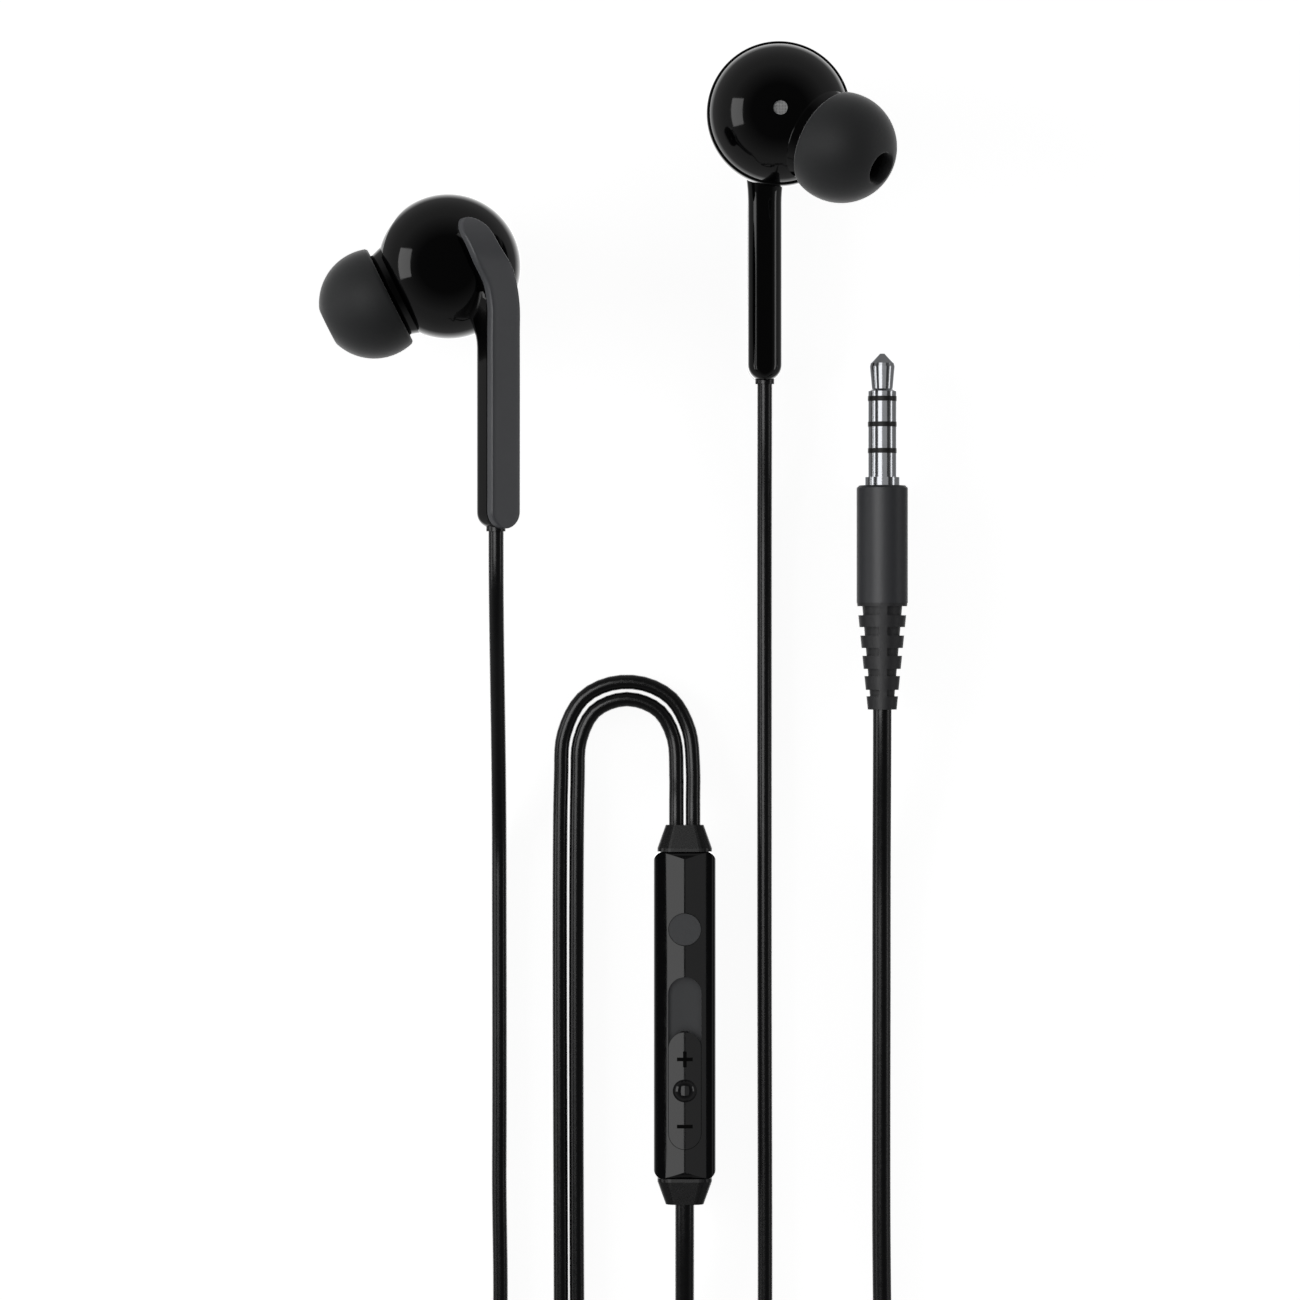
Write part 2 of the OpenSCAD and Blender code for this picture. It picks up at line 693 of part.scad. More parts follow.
left_front_shell();
left_rear_shell();
left_trim_plate();
left_nozzle_mesh();
left_vent_mesh();
left_driver_frame();
left_driver_yoke();
left_driver_magnet();
left_pole_plate();
left_voice_coil();
left_diaphragm();
left_driver_board();
left_lead_bush();
left_lead_knot();
left_ear_tip();
right_front_shell();
right_rear_shell();
right_trim_plate();
right_nozzle_mesh();
right_vent_mesh();
right_driver_frame();
right_driver_yoke();
right_driver_magnet();
right_pole_plate();
right_voice_coil();
right_diaphragm();
right_driver_board();
right_lead_bush();
right_lead_knot();
right_ear_tip();
remote_back_shell();
remote_front_shell();
remote_top_collar();
remote_bottom_collar();
play_button();
volume_slider();
slider_knob();
slider_track();
circuit_board();
play_switch();
switch_plunger();
volume_potentiometer();
potentiometer_lever();
microphone();
plug_tip();
plug_first_ring();
plug_second_ring();
plug_sleeve();
plug_insulators();
plug_barrel();
plug_strain_relief();
left_lead();
right_lead();
main_lead_start();
main_coil();
main_lead_end();
coil_tie();
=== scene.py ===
import json
import math

import bmesh
import bpy
from mathutils import Matrix, Vector


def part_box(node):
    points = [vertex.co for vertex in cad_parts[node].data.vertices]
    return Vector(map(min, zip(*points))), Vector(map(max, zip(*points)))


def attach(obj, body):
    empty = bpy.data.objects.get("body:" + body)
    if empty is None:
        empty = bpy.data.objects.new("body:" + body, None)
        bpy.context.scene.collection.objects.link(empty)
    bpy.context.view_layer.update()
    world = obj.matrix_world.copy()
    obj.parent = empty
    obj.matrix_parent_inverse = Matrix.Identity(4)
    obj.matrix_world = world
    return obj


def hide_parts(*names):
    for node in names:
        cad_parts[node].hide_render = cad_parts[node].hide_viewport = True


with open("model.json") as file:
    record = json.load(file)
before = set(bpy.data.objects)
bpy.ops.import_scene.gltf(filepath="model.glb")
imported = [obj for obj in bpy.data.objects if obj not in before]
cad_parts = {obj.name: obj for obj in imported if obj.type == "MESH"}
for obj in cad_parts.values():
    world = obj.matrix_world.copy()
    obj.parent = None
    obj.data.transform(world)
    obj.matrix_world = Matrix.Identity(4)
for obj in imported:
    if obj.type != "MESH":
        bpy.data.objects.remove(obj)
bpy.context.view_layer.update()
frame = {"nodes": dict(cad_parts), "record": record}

bl_info = {
    "name": "Wired earphones",
    "version": (1, 0, 0),
    "blender": (4, 5, 0),
    "location": "3D View > Sidebar > Earphones",
    "description": "Builds the looks of a pair of wired in-ear earphones around their packed frame",
    "category": "Add Mesh",
}

MM = 0.001
SIDES = ("left", "right")
BODY_OF = {node: body for body, nodes in frame["record"]["behaviour"]["bodies"].items() for node in nodes}
JOINTS = {joint["name"]: joint for joint in frame["record"]["behaviour"]["joints"]}
SLOT_OF = {part["node"]: part["material_slot"] for part in frame["record"]["subparts"]}

# Heights of the leads' middles where they lie on the table, in millimetres
EAR_Z = 0.9
MAIN_Z = 1.15

# Routes of the leads in millimetres, as the frame lays them
LEFT_ROUTE = (
    (-22.5, 58.2, 14.6), (-22.5, 57.2, 14.6), (-22.5, 52, 14.2), (-22.5, 46, 12), (-22.5, 40, 8.8),
    (-22.5, 34, 5.6), (-22.5, 28, 3), (-22.5, 21, 1.2), (-22.5, 14, EAR_Z), (-22.5, -18, EAR_Z),
    (-22.8, -44, EAR_Z), (-25.5, -56, EAR_Z),
    (-29, -67, EAR_Z), (-29, -74, EAR_Z), (-25, -79, EAR_Z), (-19.5, -78.5, EAR_Z), (-16, -74, EAR_Z),
    (-15.2, -66, EAR_Z), (-15, -50, EAR_Z), (-15, 28, EAR_Z), (-14.6, 34, EAR_Z), (-12.4, 38.2, EAR_Z),
    (-9, 40, EAR_Z), (-5, 40, EAR_Z), (-1.6, 38.2, EAR_Z), (0.5, 34.4, EAR_Z), (1, 30, 1.4),
    (1, 26, 2.4), (1, 23.95, 2.8), (1, 22.95, 2.8),
)
RIGHT_ROUTE = (
    (9.7, 76.3, 2.3), (9.7, 75.3, 2.3), (9.7, 70, 2.1), (9.7, 62, 1.3), (9.7, 54, EAR_Z),
    (9.7, 10, EAR_Z), (9.7, -44, EAR_Z),
    (9.4, -55, EAR_Z), (7.6, -62, EAR_Z), (3.6, -67, EAR_Z), (-1.7, -69, EAR_Z), (-7, -67, EAR_Z),
    (-11, -62, EAR_Z), (-12.8, -55, EAR_Z), (-13, -44, EAR_Z), (-13, 28, EAR_Z), (-12.7, 33.2, EAR_Z),
    (-11, 36.6, EAR_Z), (-8.2, 38, EAR_Z), (-5.8, 38, EAR_Z), (-3, 36.6, EAR_Z), (-1.3, 33.4, EAR_Z),
    (-1, 29, 1.5), (-1, 26, 2.4), (-1, 23.95, 2.8), (-1, 22.95, 2.8),
)
START_ROUTE = (
    (0, -22.95, 2.8), (0, -23.95, 2.8), (0, -28, 2.7), (0, -34, 2), (0, -41, MAIN_Z), (0, -54, MAIN_Z),
    (-0.2, -60, 1.8),
    (-0.6, -65, 3), (-1, -69, 3.4), (-1.5, -73, 3), (-2.2, -78, 1.9), (-2.7, -84, MAIN_Z), (-2.8, -91, MAIN_Z),
)
END_ROUTE = (
    (26.8, -91, 5.75), (26.8, -84, 5.2), (26.6, -77, 3.6), (26.2, -70, 2.2), (25.6, -62, MAIN_Z),
    (24.8, -52, MAIN_Z), (24.1, -40, MAIN_Z), (23.9, -28, MAIN_Z), (23.9, 6, MAIN_Z), (23.9, 16, 1.3),
    (23.9, 24, 2), (23.9, 31, 2.8), (23.9, 35.9, 3.1), (23.9, 36.9, 3.1),
)
ROUTE_STEP = 0.0012

# The coil: its middle, each turn's radius and layer, and the points on a turn
COIL_MID = (12, -92)
COIL_RADII = (14.8, 12.5, 10.2, 10.2, 12.5, 14.8, 12.5, 14.8)
COIL_LAYERS = (0, 0, 0, 1, 1, 1, 2, 2)
COIL_TURNS = 8.5
COIL_STEPS = 24
COIL_CHANGE = 0.8

# Where the earpieces lie, in millimetres, and how far the left one is turned about its stem
LEFT_POD = (-28.4, 90.1, 8.7)
LEFT_TURN = -145.5
RIGHT_POD = (11.2, 108.2, 10.5)

# The trim plate, the stem with its heel, and its flare into the pod, in an earpiece's own frame: +Z is the
# inner side, -Y runs down the stem
PLATE_LINE = ((1.55, 3.35), (0.75, 0.95), (-0.75, -1.75), (-1.45, -4.8), (-1.5, -9), (-1.5, -29.55))
PLATE_HALF = 2.05
PLATE_TOP = 10.5
PLATE_BEND = (-0.8, 7.6)
STEM_X = -1.5
STEM_BACK = 5.75
STEM_BED = 9.5
STEM_ROUND_Y = -29.55
STEM_HEEL_Y = -30.1
STEM_HEEL_R = 1.5
STEM_CORNER = 0.18
FLARE_Y = -10.2
FLARE_RUN = 4.4
FLARE_RISE = 1.5
FLARE_SWELL = 0.78
POD_OUTER = 8.7
POD_INNER = 7.8
POD_SEAM = 1.5

# An ear tip in metres. REAR, MID, FRONT, STOP and SLEEVE_REAR are places along its axis from the pod's middle
TIP_REAR = 0.00785
TIP_MID = 0.01
TIP_FRONT = 0.0162
TIP_SKIRT = 0.0008
TIP_MOUTH = 0.002
TIP_BORE = 0.0022
TIP_SLEEVE = 0.0031
TIP_STOP = 0.0146
TIP_SLEEVE_REAR = 0.0088

# The screens' radii, and a wire's radius as a share of their pitch
NOZZLE_SCREEN = 0.00138
VENT_SCREEN = 0.00088
WIRE_SHARE = 0.3

# The slider's crown and its marks
SLIDER_CROWN = 0.008
MARK_ARM = 0.00095
MARK_THICK = 0.00022
MARK_PROUD = 0.00003
MARK_DEEP = 0.0001
PLUS_Y = 0.0038
MINUS_Y = -0.0043

# The camera: the point it looks down on, in millimetres, its lens and its sensor
VIEW_MIDDLE = (-4.2, 44.1, 6.0)
LENS = 150
SENSOR = 36

# The softboxes: place, aim, width, length, radiance, and the pieces they light
SOFTBOXES = {
    "left softbox": ((-0.62, 0.12, 0.2), (0, 0.06, 0), 0.26, 0.42, 1.7, "all"),
    "right softbox": ((0.66, 0.12, 0.16), (0, 0.06, 0), 0.14, 0.42, 1.5, "all"),
    "left strip": ((-0.17, 0.0, 0.5), (-0.17, 0, 0), 0.32, 0.9, 1.7, "slim"),
    "right strip": ((0.2, 0.0, 0.5), (0.2, 0, 0), 0.38, 0.9, 0.35, "slim"),
    "matt fill": ((-0.22, 0.16, 0.5), (0, 0.06, 0), 0.34, 0.34, 3.4, "matt"),
}
SLIM = ("remote_", "plug_", "play_b", "slider_", "volume_s")
MATT = ("silicone", "plate", "lead", "vent_screen", "relief", "barrel")


class EarphoneSizes(bpy.types.PropertyGroup):
    """Sizes of the pieces made here"""

    ear_lead: bpy.props.FloatProperty(
        name="Ear lead", description="Diameter of each ear lead", default=0.0018, unit="LENGTH", precision=4)
    main_lead: bpy.props.FloatProperty(
        name="Main lead", description="Diameter of the main lead", default=0.0023, unit="LENGTH", precision=4)
    tip_radius: bpy.props.FloatProperty(
        name="Tip", description="Radius of a silicone tip's dome", default=0.0066, unit="LENGTH", precision=4)
    wire_pitch: bpy.props.FloatProperty(
        name="Mesh pitch", description="Spacing of the wires in a sound mesh", default=0.00016, unit="LENGTH",
        precision=5)
    floor: bpy.props.FloatProperty(
        name="Floor", description="Width of the floor", default=6.0, unit="LENGTH")
    view_width: bpy.props.FloatProperty(
        name="View", description="Width that the camera takes in", default=0.1566, unit="LENGTH", precision=4)


class EarphoneColours(bpy.types.PropertyGroup):
    """Colours of the finishes, as sRGB hex values"""

    gloss: bpy.props.StringProperty(name="Gloss ABS", description="Shells of pods and remote", default="#060607")
    trim: bpy.props.StringProperty(name="Trim", description="Satin trim plates", default="#505154")
    silicone: bpy.props.StringProperty(name="Silicone", description="Ear tips", default="#2A2B2C")
    jacket: bpy.props.StringProperty(name="Lead jacket", description="Jacket of the leads", default="#121213")
    key: bpy.props.StringProperty(name="Keys", description="Matte button and track", default="#3C3D3F")
    nickel: bpy.props.StringProperty(name="Nickel", description="Plug contacts", default="#C6C8CC")


def sizes():
    return bpy.context.scene.earphone_sizes


def colours():
    return bpy.context.scene.earphone_colours


# ---- Materials ----

def linear(text):
    """Turns an sRGB hex value into a linear colour."""
    parts = [int(text[i:i + 2], 16) / 255 for i in (1, 3, 5)]
    return [c / 12.92 if c <= 0.04045 else ((c + 0.055) / 1.055) ** 2.4 for c in parts] + [1.0]


def add(tree, kind, links=(), **settings):
    """Adds a node with its settings, and links (own input, other output) pairs."""
    node = tree.nodes.new(kind)
    for name, value in settings.items():
        if name.startswith("in_"):
            key = name[3:]
            socket = node.inputs[int(key)] if key.isdigit() else node.inputs[key.replace("_", " ")]
            socket.default_value = value
        else:
            setattr(node, name, value)
    for key, output in links:
        tree.links.new(output, node.inputs[key])
    return node


def blank(name):
    """A new material with an empty tree, and where its textures are read."""
    made = bpy.data.materials.new(name)
    made.use_nodes = True
    tree = made.node_tree
    tree.nodes.clear()
    return made, tree, add(tree, "ShaderNodeTexCoord").outputs["Object"]


def maths(tree, operation, *terms):
    """The result of a Math node on sockets and plain numbers."""
    node = add(tree, "ShaderNodeMath", operation=operation)
    for socket, term in zip(node.inputs, terms):
        if isinstance(term, bpy.types.NodeSocket):
            tree.links.new(term, socket)
        else:
            socket.default_value = term
    return node.outputs[0]


def surface(name, colour, roughness, grain_mm, bump=0.1, depth_mm=0.01, mottle=0.12, spread=0.06, **shader):
    """A moulded or coated surface: its colour drifts over centimetres, its grain sets its roughness and its bump."""
    if name in bpy.data.materials:
        return bpy.data.materials[name]
    made, tree, where = blank(name)
    drift = add(tree, "ShaderNodeTexNoise", [("Vector", where)], in_Scale=140.0, in_Detail=3.0, in_Roughness=0.6)
    grain = add(tree, "ShaderNodeTexNoise", [("Vector", where)], in_Scale=1.0 / (grain_mm * MM), in_Detail=4.0)
    base = linear(colour)
    dark = [c * (1 - mottle) for c in base[:3]] + [1.0]
    light = [c * (1 + mottle) for c in base[:3]] + [1.0]
    tint = add(tree, "ShaderNodeMix", [(0, drift.outputs["Fac"])], data_type="RGBA", in_6=dark, in_7=light)
    rough = add(tree, "ShaderNodeMapRange", [("Value", grain.outputs["Fac"])], in_1=0.3, in_2=0.7,
                in_3=max(roughness - spread, 0.02), in_4=roughness + spread)
    height = add(tree, "ShaderNodeBump", [("Height", grain.outputs["Fac"])], in_Strength=bump,
                 in_Distance=depth_mm * MM)
    body = add(tree, "ShaderNodeBsdfPrincipled", [
        ("Base Color", tint.outputs[2]), ("Roughness", rough.outputs["Result"]), ("Normal", height.outputs["Normal"])])
    for key, value in shader.items():
        body.inputs[key.replace("_", " ")].default_value = value
    add(tree, "ShaderNodeOutputMaterial", [("Surface", body.outputs["BSDF"])])
    return made


def gloss_abs():
    # ABS moulded in a polished tool: black, mirror-like, with a faint orange peel
    return surface("moulded gloss ABS", colours().gloss, 0.07, 1.6, bump=0.04, depth_mm=0.02, spread=0.025,
                   IOR=1.53)


def satin_trim():
    # ABS moulded in a fine-sparked tool: grey-black with a soft, even sheen
    return surface("satin trim ABS", colours().trim, 0.36, 0.09, bump=0.25, depth_mm=0.012, IOR=1.53)


def silicone():
    # Liquid silicone rubber from a blasted tool: dull, with a soft bloom at the edges
    return surface("liquid silicone rubber", colours().silicone, 0.6, 0.12, bump=0.22, depth_mm=0.012,
                   IOR=1.42, Sheen_Weight=0.35, Sheen_Roughness=0.4)


def jacket():
    # Extruded TPE: a smooth satin skin that shows long soft highlights
    return surface("extruded TPE jacket", colours().jacket, 0.26, 0.6, bump=0.05, depth_mm=0.006, spread=0.03,
                   IOR=1.5)


def matte_key():
    # ABS with a spark-eroded face: flat grey-black, no highlight
    return surface("spark-eroded ABS", colours().key, 0.62, 0.1, bump=0.35, depth_mm=0.015, IOR=1.53)


def slider_gloss():
    return surface("polished slider ABS", "#0C0C0D", 0.08, 1.2, bump=0.04, depth_mm=0.02, spread=0.02, IOR=1.53)


def collar_tpe():
    return surface("moulded TPE collar", "#0D0D0E", 0.3, 0.2, bump=0.15, depth_mm=0.01, IOR=1.5)


def barrel_tpe():
    # Overmoulded TPE from a blasted tool
    return surface("overmoulded TPE barrel", "#232427", 0.46, 0.1, bump=0.3, depth_mm=0.015, IOR=1.5)


def relief_tpe():
    return surface("overmoulded TPE relief", "#1A1A1C", 0.5, 0.12, bump=0.3, depth_mm=0.015, IOR=1.5)


def insulator():
    return surface("acetal insulator", "#0B0B0C", 0.4, 0.2, bump=0.1, depth_mm=0.005, IOR=1.48)


def screen_steel():
    return surface("woven stainless steel", "#A4A6AA", 0.34, 0.05, bump=0.2, depth_mm=0.004, Metallic=1.0)


def vent_nylon():
    # Monofilament nylon cloth: pale and dull
    return surface("woven nylon monofilament", "#D6D6D6", 0.55, 0.05, bump=0.2, depth_mm=0.004, IOR=1.53)


def plated_steel():
    return surface("zinc-plated steel", "#9EA1A6", 0.3, 0.2, bump=0.15, depth_mm=0.006, Metallic=1.0)


def magnet_nickel():
    return surface("nickel-plated magnet", "#7C7E83", 0.25, 0.25, bump=0.12, depth_mm=0.006, Metallic=1.0)


def copper_wire():
    return surface("enamelled copper", "#B4683A", 0.3, 0.06, bump=0.4, depth_mm=0.01, Metallic=1.0)


def film():
    return surface("polyester film", "#C9BD98", 0.22, 0.3, bump=0.2, depth_mm=0.01, IOR=1.6)


def solder_mask():
    return surface("green solder mask", "#174A2B", 0.25, 0.5, bump=0.15, depth_mm=0.01, IOR=1.52)


def switch_nylon():
    return surface("moulded nylon", "#B9BABC", 0.5, 0.2, bump=0.15, depth_mm=0.01, IOR=1.53)


def tie_plastic():
    return surface("polypropylene tie", "#0E0E10", 0.42, 0.3, bump=0.2, depth_mm=0.02, IOR=1.49)


def marking():
    # Pad-printed ink on the slider
    return surface("pad-printed ink", "#050505", 0.5, 0.05, bump=0.2, depth_mm=0.004)


def nickel():
    """Bright nickel over turned brass: fine rings run round the shaft."""
    name = "turned bright nickel"
    if name in bpy.data.materials:
        return bpy.data.materials[name]
    made, tree, where = blank(name)
    rings = add(tree, "ShaderNodeTexWave", [("Vector", where)], bands_direction="Y", in_Scale=2600.0,
                in_Distortion=0.4, in_Detail=2.0)
    haze = add(tree, "ShaderNodeTexNoise", [("Vector", where)], in_Scale=900.0, in_Detail=3.0)
    rough = add(tree, "ShaderNodeMapRange", [("Value", haze.outputs["Fac"])], in_3=0.1, in_4=0.2)
    height = add(tree, "ShaderNodeBump", [("Height", rings.outputs["Fac"])], in_Strength=0.12, in_Distance=0.000006)
    base = linear(colours().nickel)
    dull = [c * 0.9 for c in base[:3]] + [1.0]
    tint = add(tree, "ShaderNodeMix", [(0, haze.outputs["Fac"])], data_type="RGBA", in_6=dull, in_7=base)
    body = add(tree, "ShaderNodeBsdfPrincipled", [
        ("Base Color", tint.outputs[2]), ("Roughness", rough.outputs["Result"]), ("Normal", height.outputs["Normal"])],
        in_Metallic=1.0)
    add(tree, "ShaderNodeOutputMaterial", [("Surface", body.outputs["BSDF"])])
    return made


FINISHES = {
    "gloss_abs_front": gloss_abs, "gloss_abs_rear": gloss_abs, "satin_trim": satin_trim, "steel_mesh": screen_steel,
    "plated_steel": plated_steel, "magnet": magnet_nickel, "copper_winding": copper_wire, "film": film,
    "circuit_board": solder_mask, "lead_rubber": jacket, "silicone": silicone, "collar_rubber": collar_tpe,
    "matte_key": matte_key, "slider_abs": slider_gloss, "switch_plastic": switch_nylon, "nickel": nickel,
    "insulator": insulator, "barrel_tpe": barrel_tpe, "relief_tpe": relief_tpe, "tie_plastic": tie_plastic,
}


# ---- Mesh helpers ----

def keep(name, mesh, finish, body, smooth=True):
    """Puts a finished mesh in the scene, gives it its material and its body."""
    piece = bpy.data.objects.new(name, mesh)
    bpy.context.scene.collection.objects.link(piece)
    mesh.materials.clear()
    mesh.materials.append(finish)
    if smooth:
        mesh.shade_smooth()
    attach(piece, body)
    return piece


def turned(outline, steps=96):
    """A closed solid turned about +Z from a closed outline of (radius, height) points."""
    work = bmesh.new()
    loops = []
    for i in range(steps):
        a = 2 * math.pi * i / steps
        loops.append([work.verts.new((r * math.cos(a), r * math.sin(a), z)) for r, z in outline])
    count = len(outline)
    for i in range(steps):
        here, there = loops[i], loops[(i + 1) % steps]
        for k in range(count):
            n = (k + 1) % count
            work.faces.new((here[k], here[n], there[n], there[k]))
    bmesh.ops.remove_doubles(work, verts=work.verts, dist=1e-8)
    bmesh.ops.recalc_face_normals(work, faces=work.faces)
    mesh = bpy.data.meshes.new("turned")
    work.to_mesh(mesh)
    work.free()
    return mesh


def arc(mid, radius, start, end, steps):
    """Points on an arc, angles in degrees from the outline's first axis."""
    points = []
    for i in range(steps + 1):
        a = math.radians(start + (end - start) * i / steps)
        points.append((mid[0] + radius * math.cos(a), mid[1] + radius * math.sin(a)))
    return points


def smooth_path(points, spacing):
    """A centripetal Catmull-Rom path through the points, sampled about every spacing."""
    pts = [Vector(p) for p in points]
    pts = [2 * pts[0] - pts[1]] + pts + [2 * pts[-1] - pts[-2]]
    path = []
    for i in range(1, len(pts) - 2):
        p0, p1, p2, p3 = pts[i - 1:i + 3]
        t = [0.0]
        for a, b in ((p0, p1), (p1, p2), (p2, p3)):
            t.append(t[-1] + max((b - a).length, 1e-9) ** 0.5)
        count = max(2, round((p2 - p1).length / spacing))
        for k in range(count):
            u = t[1] + (t[2] - t[1]) * k / count
            a1 = p0.lerp(p1, (u - t[0]) / (t[1] - t[0]))
            a2 = p1.lerp(p2, (u - t[1]) / (t[2] - t[1]))
            a3 = p2.lerp(p3, (u - t[2]) / (t[3] - t[2]))
            b1 = a1.lerp(a2, (u - t[0]) / (t[2] - t[0]))
            b2 = a2.lerp(a3, (u - t[1]) / (t[3] - t[1]))
            path.append(b1.lerp(b2, (u - t[1]) / (t[2] - t[1])))
    path.append(pts[-2])
    return path


def lofted(rings):
    """A closed solid through rings of equal counts, with flat ends."""
    work = bmesh.new()
    loops = [[work.verts.new(point) for point in ring] for ring in rings]
    for here, there in zip(loops, loops[1:]):
        for k in range(len(here)):
            n = (k + 1) % len(here)
            work.faces.new((here[k], here[n], there[n], there[k]))
    work.faces.new(loops[0])
    work.faces.new(loops[-1])
    bmesh.ops.recalc_face_normals(work, faces=work.faces)
    mesh = bpy.data.meshes.new("lofted")
    work.to_mesh(mesh)
    work.free()
    return mesh


def joined(meshes):
    """One mesh that holds all the given closed forms."""
    work = bmesh.new()
    for mesh in meshes:
        work.from_mesh(mesh)
    whole = bpy.data.meshes.new("joined")
    work.to_mesh(whole)
    work.free()
    return whole


def lead_curve(name, path, diameter):
    """A round lead as one open poly spline with a bevel."""
    curve = bpy.data.curves.new(name, "CURVE")
    curve.dimensions = "3D"
    curve.bevel_depth = diameter / 2
    curve.bevel_resolution = 4
    curve.use_fill_caps = True
    spline = curve.splines.new("POLY")
    spline.points.add(len(path) - 1)
    for point, place in zip(spline.points, path):
        point.co = (*place, 1.0)
    spline.use_smooth = True
    piece = bpy.data.objects.new(name, curve)
    bpy.context.scene.collection.objects.link(piece)
    curve.materials.append(jacket())
    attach(piece, "root")
    return piece


def in_metres(points):
    return [Vector(p) * MM for p in points]


def coil_turns():
    """The stored part of the main lead: turns side by side in three layers, stepping between columns."""
    pitch = MAIN_Z * 2
    last = len(COIL_RADII) - 1
    path = []
    for i in range(1, int(COIL_TURNS * COIL_STEPS)):
        whole, part = divmod(i / COIL_STEPS, 1)
        here = min(int(whole), last)
        after = min(here + 1, last)
        step = min(max((part - COIL_CHANGE) / (1 - COIL_CHANGE), 0), 1)
        step = step * step * (3 - 2 * step)
        radius = COIL_RADII[here] + (COIL_RADII[after] - COIL_RADII[here]) * step
        layer = COIL_LAYERS[here] + (COIL_LAYERS[after] - COIL_LAYERS[here]) * step
        angle = math.pi + 2 * math.pi * i / COIL_STEPS
        path.append((COIL_MID[0] + radius * math.cos(angle), COIL_MID[1] + radius * math.sin(angle),
                     MAIN_Z + pitch * layer))
    return path


def lit_sweep():
    """A backlit acrylic sheet: white and nearly shadowless."""
    made, tree, where = blank("backlit acrylic sweep")
    haze = add(tree, "ShaderNodeTexNoise", [("Vector", where)], in_Scale=3.0, in_Detail=2.0)
    glow = add(tree, "ShaderNodeMapRange", [("Value", haze.outputs["Fac"])], in_3=0.9, in_4=0.94)
    body = add(tree, "ShaderNodeBsdfPrincipled", [("Emission Strength", glow.outputs["Result"])],
               in_Base_Color=linear("#F2F2F2"), in_Roughness=0.8, in_Emission_Color=linear("#FFFFFF"))
    add(tree, "ShaderNodeOutputMaterial", [("Surface", body.outputs["BSDF"])])
    return made


def softbox(name, place, aim, wide, tall, radiance, only=()):
    """A rectangular soft light of an even radiance, seen by the given pieces alone when they are named."""
    data = bpy.data.lights.new(name, "AREA")
    data.shape = "RECTANGLE"
    data.size = wide
    data.size_y = tall
    data.energy = radiance * math.pi * wide * tall
    lamp = bpy.data.objects.new(name, data)
    lamp.location = place
    lamp.rotation_euler = aimed(Vector(aim) - Vector(place)).to_euler()
    lamp.visible_camera = False
    bpy.context.scene.collection.objects.link(lamp)
    if only:
        group = bpy.data.collections.new(f"lit by {name}")
        for piece in only:
            group.objects.link(piece)
        lamp.light_linking.receiver_collection = group


def aimed(look):
    """Turns a light's face along the look, its long side kept along the table's length."""
    back = -look.normalized()
    along = Vector((0, 1, 0))
    across = along.cross(back).normalized()
    along = back.cross(across)
    return Matrix((across, along, back)).transposed()


# ---- Operators ----

class EARPHONES_OT_stage(bpy.types.Operator):
    """Adds the floor, the studio world's soft light and the camera"""

    bl_idname = "earphones.stage"
    bl_label = "Stage"

    def execute(self, context):
        size = sizes()
        scene = context.scene
        mesh = bpy.data.meshes.new("floor")
        half = size.floor / 2
        mesh.from_pydata([(-half, -half, 0), (half, -half, 0), (half, half, 0), (-half, half, 0)], [], [(0, 1, 2, 3)])
        floor = bpy.data.objects.new("floor", mesh)
        scene.collection.objects.link(floor)
        mesh.materials.append(lit_sweep())
        floor.visible_glossy = False

        world = bpy.data.worlds.new("studio")
        scene.world = world
        world.use_nodes = True
        tree = world.node_tree
        tree.nodes.clear()
        direction = add(tree, "ShaderNodeTexCoord").outputs["Generated"]
        split = add(tree, "ShaderNodeSeparateXYZ", [("Vector", direction)])
        above = add(tree, "ShaderNodeMapRange", [("Value", split.outputs["Z"])],
                    in_1=0.1, in_2=0.7, in_3=0.22, in_4=0.04)
        below = add(tree, "ShaderNodeMapRange", [("Value", split.outputs["Z"])],
                    in_1=-0.7, in_2=-1.0, in_3=0.0, in_4=1.6)
        strength = maths(tree, "ADD", above.outputs["Result"], below.outputs["Result"])
        light = add(tree, "ShaderNodeBackground", [("Strength", strength)], in_Color=(1, 1, 1, 1))
        add(tree, "ShaderNodeOutputWorld", [("Surface", light.outputs["Background"])])

        data = bpy.data.cameras.new("camera")
        data.lens = LENS
        data.sensor_width = SENSOR
        camera = bpy.data.objects.new("camera", data)
        camera.location = Vector(VIEW_MIDDLE) * MM + Vector((0, 0, size.view_width * LENS / SENSOR))
        scene.collection.objects.link(camera)
        scene.camera = camera
        data.clip_start = 0.01
        scene.view_settings.view_transform = "Standard"
        return {"FINISHED"}


class EARPHONES_OT_lights(bpy.types.Operator):
    """Sets the softboxes: two low ones at the sides, strips over the slim parts and a fill over the matt ones"""

    bl_idname = "earphones.lights"
    bl_label = "Soft lights"

    def execute(self, context):
        pieces = [piece for piece in context.scene.collection.objects
                  if piece.type in {"MESH", "CURVE"} and piece.name != "floor"]
        lit = {
            "all": [],
            "slim": [piece for piece in pieces if piece.name.startswith(SLIM)],
            "matt": [piece for piece in pieces if any(word in piece.name for word in MATT)],
        }
        for name, (place, aim, wide, tall, radiance, group) in SOFTBOXES.items():
            softbox(name, place, aim, wide, tall, radiance, lit[group])
        return {"FINISHED"}


